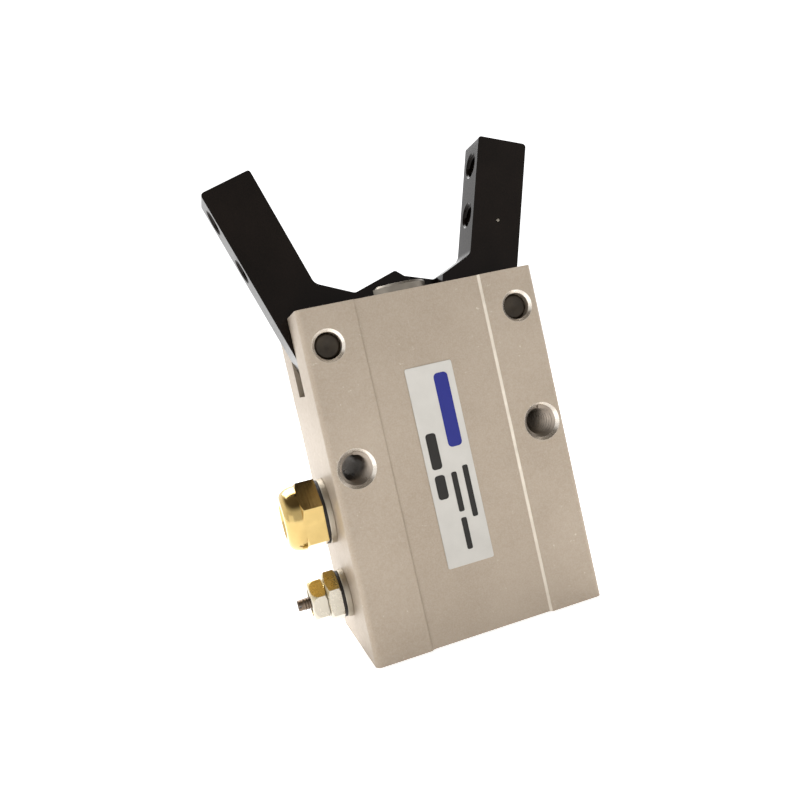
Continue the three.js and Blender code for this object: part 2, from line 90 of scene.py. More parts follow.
# Sizes of features, the same as in the CAD model
CORNER_RADIUS = 0.8
PANEL_HALF_WIDTH = 7.5
PANEL_DEPTH = 0.36
COVE_SWEEP = 55  # degrees
SLOT_FLOOR = 33.4
SLOT_HALF_WIDTH = 2.7
MOUNT = Vector((12.27, 0, 23.8))
MOUNT_MOUTH_RADIUS = 2.4
PIVOT_MOUTH_RADIUS = 2.0
MOUTH_DEPTH = 0.45
BASE_SCREW_X, BASE_SCREW_Y = 12.2, 7.3
INLET_PORT_RADIUS = 2.55
THROTTLE_PORT_RADIUS = 2.05
OPEN_ANGLE = 17.5
FINGER_HALF_DEPTH = 2.6
FINGER_OUTER, FINGER_INNER = -3, 3.95  # from the pivot towards the middle of the gripper
FINGER_HOLES = (13.6, 20.6)
BRIGHT_DOT = (-0.3, 0, 12.85)  # on the right finger while it stands upright
HEEL_RADIUS = 5.1
LAP_START = 7.6
LAP_GAP = 0.05
ROLLER_SLOT_RADIUS = 2.1
ROD_RADIUS = 4.5

# ---------- mesh building ----------

AXES = {
    "x": (Vector((1, 0, 0)), Vector((0, 1, 0)), Vector((0, 0, 1))),
    "y": (Vector((0, 1, 0)), Vector((0, 0, 1)), Vector((1, 0, 0))),
    "z": (Vector((0, 0, 1)), Vector((1, 0, 0)), Vector((0, 1, 0))),
}


def made(name, bm):
    bmesh.ops.recalc_face_normals(bm, faces=bm.faces)
    mesh = bpy.data.meshes.new(name)
    bm.to_mesh(mesh)
    bm.free()
    obj = bpy.data.objects.new(name, mesh)
    bpy.context.scene.collection.objects.link(obj)
    return obj


def circle(bm, axis, centre, radius, distance, segments):
    """A ring of vertices about an axis, or its one point where the radius is nothing."""
    along, side, up = AXES[axis]
    middle = Vector(centre) + along * distance
    if radius < 1e-6:
        return [bm.verts.new(middle)]
    angles = [2 * math.pi * k / segments for k in range(segments)]
    return [bm.verts.new(middle + (side * math.cos(a) + up * math.sin(a)) * radius) for a in angles]


def lathe(name, axis, profile, centre=(0, 0, 0), segments=FINE):
    """A solid of revolution from (radius, distance) points that start and end on the axis, or form a loop."""
    bm = bmesh.new()
    rings = [circle(bm, axis, centre, radius, distance, segments) for radius, distance in profile]
    loop = profile[0][0] > 1e-6
    for first, second in zip(rings, rings[1:] + (rings[:1] if loop else [])):
        for k in range(segments):
            j = (k + 1) % segments
            if len(first) > 1 and len(second) > 1:
                bm.faces.new((first[k], first[j], second[j], second[k]))
            elif len(second) > 1:
                bm.faces.new((first[0], second[j], second[k]))
            elif len(first) > 1:
                bm.faces.new((first[k], first[j], second[0]))
    return made(name, bm)


def cylinder(axis, radius, low, high, centre=(0, 0, 0), segments=FINE):
    return lathe("cutter", axis, [(0, low), (radius, low), (radius, high), (0, high)], centre, segments)


def prism(name, axis, outline, low, high):
    """An outline with thickness along an axis. Its points hold the other two coordinates in X, Y, Z order."""
    place = {
        "x": lambda a, b, t: (t, a, b),
        "y": lambda a, b, t: (a, t, b),
        "z": lambda a, b, t: (a, b, t),
    }[axis]
    bm = bmesh.new()
    lower = [bm.verts.new(place(a, b, low)) for a, b in outline]
    upper = [bm.verts.new(place(a, b, high)) for a, b in outline]
    bm.faces.new(lower)
    bm.faces.new(upper)
    count = len(outline)
    for k in range(count):
        j = (k + 1) % count
        bm.faces.new((lower[k], lower[j], upper[j], upper[k]))
    return made(name, bm)


def block(low, high):
    corners = [(low[0], low[1]), (high[0], low[1]), (high[0], high[1]), (low[0], high[1])]
    return prism("cutter", "z", corners, low[2], high[2])


def rounded(corners, steps=8):
    """An outline whose (x, y, radius) corners are replaced by arcs."""
    outline = []
    count = len(corners)
    for k, (x, y, radius) in enumerate(corners):
        here = Vector((x, y))
        before = (Vector(corners[k - 1][:2]) - here).normalized()
        after = (Vector(corners[(k + 1) % count][:2]) - here).normalized()
        half = before.angle(after) / 2
        if radius <= 0:
            outline.append(tuple(here))
            continue
        start = here + before * (radius / math.tan(half))
        centre = here + (before + after).normalized() * (radius / math.sin(half))
        sweep = math.pi - 2 * half
        arm = start - centre
        turn = math.copysign(1, arm.x * (here - centre).y - arm.y * (here - centre).x)
        for step in range(steps + 1):
            angle = turn * sweep * step / steps
            c, s = math.cos(angle), math.sin(angle)
            outline.append((centre.x + arm.x * c - arm.y * s, centre.y + arm.x * s + arm.y * c))
    return outline


def apply_modifiers(obj):
    depsgraph = bpy.context.evaluated_depsgraph_get()
    mesh = bpy.data.meshes.new_from_object(obj.evaluated_get(depsgraph))
    obj.modifiers.clear()
    obj.data = mesh
    return obj


def combine(obj, tools, operation="DIFFERENCE"):
    for tool in tools:
        modifier = obj.modifiers.new("boolean", "BOOLEAN")
        modifier.operation = operation
        modifier.solver = "EXACT"
        modifier.object = tool
    apply_modifiers(obj)
    for tool in tools:
        bpy.data.objects.remove(tool)
    return obj


def soften(obj, width, angle=28, segments=3):
    """Breaks the sharp edges with a small round and shades the rest flat or smooth as its shape needs."""
    obj.data.shade_smooth()
    bevel = obj.modifiers.new("bevel", "BEVEL")
    bevel.width = width
    bevel.segments = segments
    bevel.limit_method = "ANGLE"
    bevel.angle_limit = math.radians(angle)
    bevel.harden_normals = True
    return apply_modifiers(obj)


def crisp(obj, angle=25):
    """Shades round surfaces smooth and leaves every edge sharper than the angle as it is."""
    obj.data.shade_smooth()
    obj.data.set_sharp_from_angle(angle=math.radians(angle))
    return obj


def drill(axis, radius, mouth, low, high, centre):
    """A cutter for a hole from one face to the other, with a 45 degree mouth at each."""
    depth = mouth - radius
    profile = [
        (0, low - 1),
        (mouth + 1, low - 1),
        (radius, low + depth),
        (radius, high - depth),
        (mouth + 1, high + 1),
        (0, high + 1),
    ]
    return lathe("cutter", axis, profile, centre)


def blind_hole(axis, radius, mouth, face, bottom, centre):
    """A cutter for a hole that ends in a drill point, with a 45 degree mouth. "face" is where it starts."""
    inward = math.copysign(1, bottom - face)
    profile = [
        (0, face - inward),
        (mouth + 1, face - inward),
        (radius, face + inward * (mouth - radius)),
        (radius, bottom),
        (0, bottom + inward * radius * 0.6),
    ]
    return lathe("cutter", axis, profile, centre)


def thread(name, axis, centre, root, crest, pitch, low, high, steps=40):
    """A helical ridge with a flat-topped triangular section. Its root is sunk in the metal below it."""
    along, side, up = AXES[axis]
    section = [(root, -0.46), (crest, -0.07), (crest, 0.07), (root, 0.46)]
    bm = bmesh.new()
    previous = None
    count = round((high - low) / pitch * steps)
    for k in range(count + 1):
        angle = 2 * math.pi * k / steps
        out = side * math.cos(angle) + up * math.sin(angle)
        middle = Vector(centre) + along * (low + pitch * k / steps)
        current = [bm.verts.new(middle + out * radius + along * (share * pitch)) for radius, share in section]
        if previous:
            for a in range(4):
                b = (a + 1) % 4
                bm.faces.new((previous[a], previous[b], current[b], current[a]))
        else:
            bm.faces.new(current)
        previous = current
    bm.faces.new(previous)
    obj = made(name, bm)
    obj.data.shade_smooth()
    obj.data.set_sharp_from_angle(angle=math.radians(40))
    return obj


def dress(obj, body, slot, material, *nodes):
    """Scales a finished shape to metres, gives it its material and body, and hides the CAD nodes it stands for.
    The slot is not used.
    """
    obj.data.transform(Matrix.Scale(MM, 4))
    obj.data.materials.clear()
    obj.data.materials.append(material)
    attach(obj, body)
    if nodes:
        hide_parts(*nodes)
    return obj


# ---------- materials ----------


class Nodes:
    """A short way to write a material's nodes. Coordinates are the object's own, in metres."""

    def __init__(self, name):
        self.material = bpy.data.materials.new(name)
        self.material.use_nodes = True
        self.tree = self.material.node_tree
        self.shader = self.tree.nodes["Principled BSDF"]
        self.place = self.tree.nodes.new("ShaderNodeTexCoord").outputs["Object"]

    def add(self, kind, **settings):
        node = self.tree.nodes.new(kind)
        for key, value in settings.items():
            setattr(node, key, value)
        return node

    def link(self, source, target):
        self.tree.links.new(source, target)

    def noise(self, scale, detail=3, roughness=0.55, stretch=(1, 1, 1)):
        mapping = self.add("ShaderNodeMapping")
        mapping.inputs["Scale"].default_value = stretch
        self.link(self.place, mapping.inputs["Vector"])
        node = self.add("ShaderNodeTexNoise")
        node.inputs["Scale"].default_value = scale
        node.inputs["Detail"].default_value = detail
        node.inputs["Roughness"].default_value = roughness
        self.link(mapping.outputs["Vector"], node.inputs["Vector"])
        return node.outputs["Fac"]

    def ramp(self, source, *stops):
        """Colours or grey levels at places along the source's value."""
        node = self.add("ShaderNodeValToRGB")
        elements = node.color_ramp.elements
        while len(elements) < len(stops):
            elements.new(0.5)
        for element, (place, value) in zip(elements, stops):
            element.position = place
            element.color = (*value, 1) if hasattr(value, "__len__") else (value, value, value, 1)
        self.link(source, node.inputs["Fac"])
        return node.outputs["Color"]

    def mix(self, share, first, second):
        node = self.add("ShaderNodeMix", data_type="RGBA")
        for source, socket in ((share, node.inputs[0]), (first, node.inputs[6]), (second, node.inputs[7])):
            if hasattr(source, "is_output"):
                self.link(source, socket)
            elif hasattr(source, "__len__"):
                socket.default_value = (*source, 1)
            else:
                socket.default_value = source
        return node.outputs[2]

    def math(self, operation, *values):
        node = self.add("ShaderNodeMath", operation=operation)
        for value, socket in zip(values, node.inputs):
            if hasattr(value, "is_output"):
                self.link(value, socket)
            else:
                socket.default_value = value
        return node.outputs[0]

    def bump(self, height, distance, strength):
        node = self.add("ShaderNodeBump")
        node.inputs["Strength"].default_value = strength
        node.inputs["Distance"].default_value = distance
        self.link(height, node.inputs["Height"])
        return node.outputs["Normal"]

    def finish(self, colour=None, roughness=None, normal=None, **fixed):
        for source, name in ((colour, "Base Color"), (roughness, "Roughness"), (normal, "Normal")):
            if source is not None:
                self.link(source, self.shader.inputs[name])
        for key, value in fixed.items():
            self.shader.inputs[key.replace("_", " ").title().replace("Ior", "IOR")].default_value = value
        return self.material


def anodised_aluminium():
    """Blasted and anodised: a fine even grain, faint cloudy tone and a few pale specks."""
    n = Nodes("anodised_aluminium")
    cloudy = n.ramp(n.noise(70, 4), (0.35, (0.345, 0.28, 0.212)), (0.65, (0.395, 0.326, 0.253)))
    grain = n.noise(5200, 2)
    grained = n.mix(n.ramp(grain, (0.3, 0), (0.75, 0.35)), cloudy, (0.5, 0.44, 0.37))
    specks = n.ramp(n.noise(900, 5, 0.7), (0.66, 0), (0.72, 0.55))
    colour = n.mix(specks, grained, (0.72, 0.66, 0.56))
    roughness = n.ramp(n.noise(1500, 3), (0.3, 0.4), (0.7, 0.52))
    normal = n.bump(grain, 0.00002, 0.6)
    return n.finish(colour, roughness, normal, metallic=0.55)


def black_oxide():
    """Hot-blackened steel with a warm cast, faint milling lines and slightly worn patches."""
    n = Nodes("black_oxide_steel")
    tone = n.ramp(n.noise(120, 5), (0.3, (0.004, 0.0025, 0.0015)), (0.7, (0.008, 0.005, 0.0035)))
    lines = n.noise(1600, 2, stretch=(1, 0.02, 1))
    roughness = n.ramp(n.noise(420, 4), (0.3, 0.16), (0.7, 0.22))
    normal = n.bump(lines, 0.000004, 0.5)
    return n.finish(tone, roughness, normal, metallic=0, specular_ior_level=0.1)


def dark_pin():
    n = Nodes("dark_steel")
    tone = n.ramp(n.noise(700, 4), (0.3, (0.018, 0.012, 0.006)), (0.7, (0.036, 0.026, 0.015)))
    roughness = n.ramp(n.noise(1800, 3), (0.3, 0.35), (0.7, 0.5))
    return n.finish(tone, roughness, n.bump(n.noise(2600, 2), 0.00001, 0.5), metallic=0.5)


def bare_aluminium(name, dark, light, roughness):
    """Metal without its anodising, as cut after it in the holes' mouths; also a painted highlight along one edge
    of the front panel.
    """
    n = Nodes(name)
    tone = n.ramp(n.noise(500, 3), (0.3, dark), (0.7, light))
    rough = n.ramp(n.noise(1500, 3), (0.3, roughness * 0.8), (0.7, roughness * 1.2))
    return n.finish(tone, rough, n.bump(n.noise(3000, 2), 0.000002, 0.4), metallic=0.85)


def turned_metal(name, dark, light, roughness, axis="x", lines=5200, metallic=1.0):
    """Machined bar: tool marks that run round the axis, and a slightly uneven tone."""
    n = Nodes(name)
    stretch = {"x": (1, 0.015, 0.015), "y": (0.015, 1, 0.015), "z": (0.015, 0.015, 1)}[axis]
    marks = n.noise(lines, 2, stretch=stretch)
    tone = n.ramp(n.noise(260, 4), (0.3, dark), (0.7, light))
    rough = n.ramp(n.noise(900, 4), (0.25, roughness * 0.75), (0.75, roughness * 1.3))
    return n.finish(tone, rough, n.bump(marks, 0.000006, 0.6), metallic=metallic)


def worn_brass():
    """Brass on faces that point up and a paler nickel tone on faces that point down, with a noisy border: painted
    light and shade by facing direction.
    """
    n = Nodes("worn_brass")
    normal = n.add("ShaderNodeNewGeometry").outputs["Normal"]
    split = n.add("ShaderNodeSeparateXYZ")
    n.link(normal, split.inputs[0])
    patchy = n.math("MULTIPLY_ADD", n.noise(500, 2), 0.3, -0.15)
    # painted light and shade: the colour follows which way a face points, pale below and brass above
    share = n.ramp(n.math("ADD", split.outputs["Z"], patchy), (0.1, 0), (0.7, 1))
    brass = n.ramp(n.noise(300, 3), (0.3, (0.5, 0.39, 0.16)), (0.7, (0.62, 0.49, 0.22)))
    colour = n.mix(share, (0.54, 0.5, 0.42), brass)
    roughness = n.ramp(n.noise(1100, 4), (0.3, 0.22), (0.7, 0.36))
    return n.finish(colour, roughness, n.bump(n.noise(2400, 2), 0.000006, 0.5), metallic=1)


def rubber(name, dark, light):
    n = Nodes(name)
    tone = n.ramp(n.noise(900, 3), (0.3, dark), (0.7, light))
    roughness = n.ramp(n.noise(2000, 2), (0.3, 0.5), (0.7, 0.7))
    return n.finish(tone, roughness, n.bump(n.noise(4000, 2), 0.00001, 0.4), metallic=0)


def printed_film(name, tone):
    """Glossy printed film with a slight unevenness."""
    n = Nodes(name)
    lighter = tuple(min(1, c * 1.06) for c in tone)
    colour = n.ramp(n.noise(380, 4), (0.35, tone), (0.65, lighter))
    roughness = n.ramp(n.noise(1200, 3), (0.3, 0.3), (0.7, 0.42))
    normal = n.bump(n.noise(300, 2), 0.00002, 0.25)
    return n.finish(colour, roughness, normal, metallic=0, specular_ior_level=0.2)


MATERIALS = {
    "anodised_housing": anodised_aluminium(),
    "black_oxide_steel": black_oxide(),
    "dark_steel": dark_pin(),
    "brass": turned_metal("brass", (0.5, 0.35, 0.13), (0.62, 0.46, 0.19), 0.16),
    # worn_brass paints light and shade by facing direction: pale on faces that point down, brass on faces that
    # point up
    "worn_brass": worn_brass(),
    "nickel_plate": turned_metal("nickel_plate", (0.42, 0.38, 0.31), (0.52, 0.47, 0.39), 0.45),
    "bright_steel": turned_metal("bright_steel", (0.2, 0.18, 0.15), (0.3, 0.27, 0.23), 0.34, "z"),
    "plain_aluminium": turned_metal("plain_aluminium", (0.66, 0.65, 0.62), (0.8, 0.79, 0.76), 0.3, "z"),
    "bronze": turned_metal("bronze", (0.34, 0.2, 0.09), (0.5, 0.33, 0.16), 0.4, "z"),
    "seal_rubber": rubber("seal_rubber", (0.009, 0.007, 0.006), (0.018, 0.014, 0.012)),
    "urethane": rubber("urethane", (0.5, 0.24, 0.05), (0.62, 0.32, 0.08)),
    "magnet": turned_metal("magnet", (0.04, 0.04, 0.045), (0.08, 0.08, 0.085), 0.5, "z", metallic=0.4),
    "name_plate": printed_film("name_plate", (0.55, 0.53, 0.49)),
}

# ---------- housing ----------


def arc(cx, cy, radius, start, end, steps=10):
    angles = [math.radians(start + (end - start) * k / steps) for k in range(steps + 1)]
    return [(cx + radius * math.cos(a), cy + radius * math.sin(a)) for a in angles]


def housing_outline():
    """The block's plan: round corners, and a shallow panel with a cove at each edge on its front and back."""
    x, y, r = HALF_WIDTH - CORNER_RADIUS, HALF_DEPTH - CORNER_RADIUS, CORNER_RADIUS
    radius = PANEL_DEPTH / (1 - math.cos(math.radians(COVE_SWEEP)))
    centre = HALF_DEPTH - PANEL_DEPTH + radius
    cove = arc(PANEL_HALF_WIDTH, -centre, radius, 90, 90 - COVE_SWEEP, 8)
    front = [(-a, b) for a, b in reversed(cove)] + cove
    back = [(-a, -b) for a, b in front]
    right = arc(x, -y, r, -90, 0) + arc(x, y, r, 0, 90)
    left = arc(-x, y, r, 90, 180) + arc(-x, -y, r, 180, 270)
    return front + right + back + left


def housing_bore():
    """The cylinder from the base up: ring groove, chamber, seal gland, bush seat and rod opening."""
    profile = [
        (0, -1),
        (8, -1),
        (8, 0.7),
        (8.6, 0.7),
        (8.6, 1.7),
        (8, 1.7),
        (8, 27),
        (6.6, 27),
        (6.6, 30.4),
        (5.4, 30.4),
        (5.4, 33),
        (4.7, 33),
        (4.7, HEIGHT + 1),
        (0, HEIGHT + 1),
    ]
    return lathe("cutter", "z", profile)


def housing():
    y = HALF_DEPTH
    tools = [
        housing_bore(),
        block((-20, -SLOT_HALF_WIDTH, SLOT_FLOOR), (20, SLOT_HALF_WIDTH, HEIGHT + 1)),
        cylinder("x", INLET_PORT_RADIUS, SIDE_X - 1, SIDE_X + 5, (0, 0, PORT_Z)),
        cylinder("x", THROTTLE_PORT_RADIUS, SIDE_X - 1, SIDE_X + 4, (0, 0, THROTTLE_Z)),
    ]
    for side in SIDES.values():
        tools.append(drill("y", 2.0, MOUNT_MOUTH_RADIUS, -y, y, (side * MOUNT.x, 0, MOUNT.z)))
        tools.append(drill("y", 1.66, PIVOT_MOUTH_RADIUS, -y, y, (side * PIVOT.x, 0, PIVOT.z)))
        for end in (-1, 1):
            tools.append(blind_hole("z", 1.5, 1.7, 0, 6, (side * BASE_SCREW_X, end * BASE_SCREW_Y, 0)))
    block_shape = prism("housing_shell", "z", housing_outline(), 0, HEIGHT)
    shell = soften(combine(block_shape, tools), 0.14)
    cut_faces = [face.index for face in shell.data.polygons if is_mouth(face.center)]
    # painted highlight: bright bare metal on the steep part of the front panel's right cove only
    highlight_faces = [face.index for face in shell.data.polygons if is_painted_highlight(face)]
    dress(shell, HOUSING, "anodised_housing", MATERIALS["anodised_housing"], "housing")
    cut = bare_aluminium("cut_edge", (0.7, 0.64, 0.56), (0.8, 0.74, 0.66), 0.22)
    # the painted highlight's material for the panel's right cove
    highlight_metal = bare_aluminium("painted_highlight_edge", (0.58, 0.52, 0.44), (0.68, 0.62, 0.53), 0.45)
    shell.data.materials.append(cut)
    shell.data.materials.append(highlight_metal)
    for number, faces in ((1, cut_faces), (2, highlight_faces)):
        for index in faces:
            shell.data.polygons[index].material_index = number


def is_mouth(point):
    """Whether a point, in millimetres, lies in the mouth of a mounting or pivot hole."""
    if HALF_DEPTH - abs(point.y) >= MOUTH_DEPTH:
        return False
    for hole, radius in ((MOUNT, MOUNT_MOUTH_RADIUS), (PIVOT, PIVOT_MOUTH_RADIUS)):
        if math.hypot(abs(point.x) - hole.x, point.z - hole.z) < radius + 0.02:
            return True
    return False


def is_painted_highlight(face):
    """Whether a face lies on the steep part of the front panel's right edge, where bright bare metal is painted as
    a highlight.
    """
    steep = face.normal.x < -0.5 and face.center.y < 0
    return steep and PANEL_HALF_WIDTH < face.center.x < PANEL_HALF_WIDTH + 1


def housing_threads():
    y = HALF_DEPTH
    # the thread ridges are bare metal given a dark tone: painted shade for the inside of the holes
    shaded_thread_metal = turned_metal("tapped_aluminium_painted_shade", (0.26, 0.22, 0.18), (0.36, 0.31, 0.26), 0.32, "y")
    for word, side in SIDES.items():
        centre = (side * MOUNT.x, 0, MOUNT.z)
        ridge = thread(f"mount_thread_{word}", "y", centre, 2.06, 1.66, 0.7, 0.55 - y, y - 0.55)
        dress(ridge, HOUSING, "anodised_housing", shaded_thread_metal)
        for end, place in ((-1, "front"), (1, "back")):
            centre = (side * BASE_SCREW_X, end * BASE_SCREW_Y, 0)
            ridge = thread(f"base_thread_{word}_{place}", "z", centre, 1.55, 1.25, 0.5, 0.4, 5.6)
            dress(ridge, HOUSING, "anodised_housing", shaded_thread_metal)


def pivot_pins():
    """Ground pins with a chamfer and a shallow centre mark."""
    for word, side in SIDES.items():
        low, high = (c.y for c in box_mm(f"pivot_pin_{word}"))
        profile = [
            (0, low + 0.12),
            (0.35, low),
            (1.35, low),
            (1.6, low + 0.25),
            (1.6, high - 0.25),
            (1.35, high),
            (0.35, high),
            (0, high - 0.12),
        ]
        pin = lathe(f"pivot_pin_body_{word}", "y", profile, (side * PIVOT.x, 0, PIVOT.z))
        dress(soften(pin, 0.05), HOUSING, "dark_steel", MATERIALS["dark_steel"], f"pivot_pin_{word}")


# ---------- name plate ----------


def bar(name, across, along, slot, material):
    """One printed bar. "across" runs from the plate's left edge and "along" down from its top, as shares."""
    width, height = PLATE_HIGH.x - PLATE_LOW.x, PLATE_HIGH.z - PLATE_LOW.z
    x0, x1 = (PLATE_LOW.x + width * share for share in across)
    z0, z1 = (PLATE_HIGH.z - height * share for share in reversed(along))
    radius = 0.3 * min(x1 - x0, z1 - z0)
    corners = [(x0, z0, radius), (x1, z0, radius), (x1, z1, radius), (x0, z1, radius)]
    face = PLATE_LOW.y
    mark = prism(name, "y", rounded(corners, 5), face - 0.012, face + 0.02)
    dress(mark, HOUSING, slot, material)


def name_plate():
    """A blank plate: one blue bar and a few dark ones stand for its print, with no lettering."""
    corners = [
        (PLATE_LOW.x, PLATE_LOW.z, 0.25),
        (PLATE_HIGH.x, PLATE_LOW.z, 0.25),
        (PLATE_HIGH.x, PLATE_HIGH.z, 0.25),
        (PLATE_LOW.x, PLATE_HIGH.z, 0.25),
    ]
    plate = prism("name_plate_film", "y", rounded(corners), PLATE_LOW.y, PLATE_HIGH.y)
    plate = soften(plate, 0.03, segments=2)
    dress(plate, HOUSING, "name_plate", MATERIALS["name_plate"], "name_plate")
    blue = printed_film("print_blue", (0.02, 0.025, 0.2))
    dark = printed_film("print_dark", (0.02, 0.018, 0.016))
    bar("print_blue_bar", (0.56, 0.86), (0.05, 0.42), "name_plate", blue)
    dark_bars = [
        ((0.12, 0.34), (0.33, 0.51)),
        ((0.12, 0.34), (0.54, 0.66)),
        ((0.74, 0.86), (0.52, 0.78)),
        ((0.48, 0.6), (0.54, 0.74)),
        ((0.48, 0.6), (0.77, 0.93)),
    ]
    for number, (across, along) in enumerate(dark_bars):
        bar(f"print_dark_bar_{number}", across, along, "name_plate", dark)


# ---------- fingers, rod and end cap ----------


def finger_outline(side):
    """A finger about its pivot, upright, with u towards the middle of the gripper and v up."""
    first = math.degrees(math.asin(3.3 / HEEL_RADIUS))
    last = 180 - math.degrees(math.acos(-FINGER_OUTER / HEEL_RADIUS))
    corners = [
        (FINGER_INNER, 23.9, 0.4),
        (FINGER_INNER, 7.7, 1.4),
        (8, 4.15, 0.8),
        (14.2, 4.15, 0.5),
        (15.3, 2.4, 0.5),
        (15.7, 0.4, 0.5),
        (15.2, -2, 0.5),
        (13.8, -3.3, 0.5),
    ]
    heel_arc = [(u, v, 0) for u, v in arc(0, 0, HEEL_RADIUS, -first, -last, 24)]
    outline = rounded([(FINGER_OUTER, 23.9, 0.5), *corners, *heel_arc])
    return [(-side * u, v) for u, v in outline]


def lean(obj, side):
    """Leans an upright shape outwards about its pivot and puts it in its place."""
    turn = Matrix.Rotation(math.radians(side * OPEN_ANGLE), 4, "Y")
    obj.data.transform(Matrix.Translation((side * PIVOT.x, 0, PIVOT.z)) @ turn)
    return obj


def finger_cutters(side):
    """The pivot hole, the roller's slot, the lap, the screw holes and the dimple of the bright dot."""
    slot_from, slot_to = PIVOT.x, PIVOT.x / math.cos(math.radians(OPEN_ANGLE))
    slot_low, slot_high = sorted((-side * slot_from, -side * slot_to))
    lap_low, lap_high = sorted((-side * LAP_START, -side * 17))
    lap_y = (-LAP_GAP, 4) if side < 0 else (-4, LAP_GAP)
    tools = [
        cylinder("y", 2.25, -5, 5),
        cylinder("y", ROLLER_SLOT_RADIUS, -5, 5, (-side * slot_from, 0, 0)),
        cylinder("y", ROLLER_SLOT_RADIUS, -5, 5, (-side * slot_to, 0, 0)),
        block((slot_low, -5, -ROLLER_SLOT_RADIUS), (slot_high, 5, ROLLER_SLOT_RADIUS)),
        block((lap_low, lap_y[0], -6), (lap_high, lap_y[1], 6)),
    ]
    for v in FINGER_HOLES:
        tools.append(drill("x", 1.5, 1.75, *finger_faces(side), (0, 0, v)))
    if side > 0:
        face = -FINGER_HALF_DEPTH
        dimple = [(0, face - 1), (1.35, face - 1), (0, face + 0.35)]
        tools.append(lathe("cutter", "y", dimple, BRIGHT_DOT, 32))
    return tools


def finger_faces(side):
    """The lower and the higher X of an upright finger's two wide faces, from its pivot."""
    return sorted((-side * FINGER_OUTER, -side * FINGER_INNER))


def finger(word, side):
    body = f"finger_{word}_body"
    depth = FINGER_HALF_DEPTH
    upright = prism(f"finger_steel_{word}", "y", finger_outline(side), -depth, depth)
    shape = lean(soften(combine(upright, finger_cutters(side)), 0.12), side)
    dress(shape, body, "black_oxide_steel", MATERIALS["black_oxide_steel"], f"finger_{word}")
    low, high = finger_faces(side)
    for number, v in enumerate(FINGER_HOLES):
        name = f"finger_thread_{word}_{number}"
        ridge = thread(name, "x", (0, 0, v), 1.55, 1.25, 0.5, low + 0.4, high - 0.4)
        dress(lean(ridge, side), body, "black_oxide_steel", MATERIALS["black_oxide_steel"])
    if side > 0:
        finger_bright_dot(side, body)


def finger_bright_dot(side, body):
    """A small dimple of bright steel on the right finger's front."""
    face = -FINGER_HALF_DEPTH
    profile = [(0, face + 0.02), (0.12, face), (0.26, face + 0.04), (0.22, face + 0.2), (0, face + 0.22)]
    mark = lathe("right_finger_bright_dot", "y", profile, BRIGHT_DOT, 32)
    mark.data.shade_smooth()
    dress(lean(mark, side), body, "bright_steel", MATERIALS["bright_steel"])


def finger_bushes():
    for word, side in SIDES.items():
        low, high = (c.y for c in box_mm(f"finger_bush_{word}"))
        profile = [(1.65, low), (2.2, low), (2.2, high), (1.65, high)]
        bush = lathe(f"pivot_bush_{word}", "y", profile, (side * PIVOT.x, 0, PIVOT.z))
        node = f"finger_bush_{word}"
        dress(soften(bush, 0.06), f"finger_{word}_body", "bronze", MATERIALS["bronze"], node)


def piston_rod():
    """The rod's fork, whose two cheeks show between the arms."""
    low = box_mm("piston_rod")[0].z
    profile = [
        (0, low),
        (2.1, low),
        (2.4, low + 0.3),
        (2.4, 25.85),
        (ROD_RADIUS, 25.85),
        (ROD_RADIUS, ROD_TOP - 0.3),
        (ROD_RADIUS - 0.3, ROD_TOP),
        (0, ROD_TOP),
    ]
    fork = block((-6, -SLOT_HALF_WIDTH, FORK_PIN_Z - 5.2), (6, SLOT_HALF_WIDTH, ROD_TOP + 1))
    hole = cylinder("y", 1.25, -6, 6, (0, 0, FORK_PIN_Z), 64)
    rod = soften(combine(lathe("rod_fork", "z", profile), [fork, hole]), 0.08)
    dress(rod, PISTON, "bright_steel", MATERIALS["bright_steel"], "piston_rod")
    pin = [(0, -4.2), (1.05, -4.2), (1.2, -4.05), (1.2, 4.05), (1.05, 4.2), (0, 4.2)]
    shape = lathe("fork_pin", "y", pin, (0, 0, FORK_PIN_Z), 64)
    dress(soften(shape, 0.04), PISTON, "bright_steel", MATERIALS["bright_steel"], "joint_pin")
    for word in SIDES:
        low, high = (c.y for c in box_mm(f"joint_roller_{word}"))
        profile = [(1.25, low), (2, low), (2, high), (1.25, high)]
        shape = lathe(f"fork_roller_{word}", "y", profile, (0, 0, FORK_PIN_Z), 64)
        node = f"joint_roller_{word}"
        dress(soften(shape, 0.06), PISTON, "bright_steel", MATERIALS["bright_steel"], node)


def end_cap():
    """The turned cap in the base. Its retaining ring, in front of it, is made by retaining_ring."""
    top = box_mm("end_cap")[1].z
    profile = [
        (0, 0.35),
        (0.8, 0.35),
        (1.15, 0),
        (5.6, 0),
        (6, 0.4),
        (6, 1.7),
        (7.9, 1.7),
        (7.9, 2.9),
        (6.7, 2.9),
        (6.7, 4.3),
        (7.9, 4.3),
        (7.9, 5.6),
        (3.1, 5.6),
        (3.1, top),
        (0, top),
    ]
    cap = soften(lathe("turned_end_cap", "z", profile), 0.06)
    dress(cap, HOUSING, "plain_aluminium", MATERIALS["plain_aluminium"], "end_cap")


def retaining_ring():
    low, high = (c.z for c in box_mm("end_cap_retaining_ring"))
    ring = lathe("spring_ring", "z", [(7.1, low), (8.55, low), (8.55, high), (7.1, high)])
    combine(ring, [block((4, -1.1, 0), (10, 1.1, 3))])
    ears = [cylinder("z", 0.95, low, high, (7.15, side * 2.1, 0), 48) for side in (-1, 1)]
    combine(ring, ears, "UNION")
    combine(ring, [cylinder("z", 0.45, 0, 3, (7.15, side * 2.1, 0), 32) for side in (-1, 1)])
    node = "end_cap_retaining_ring"
    dress(soften(ring, 0.07), HOUSING, "bright_steel", MATERIALS["bright_steel"], node)


# ---------- air fittings ----------


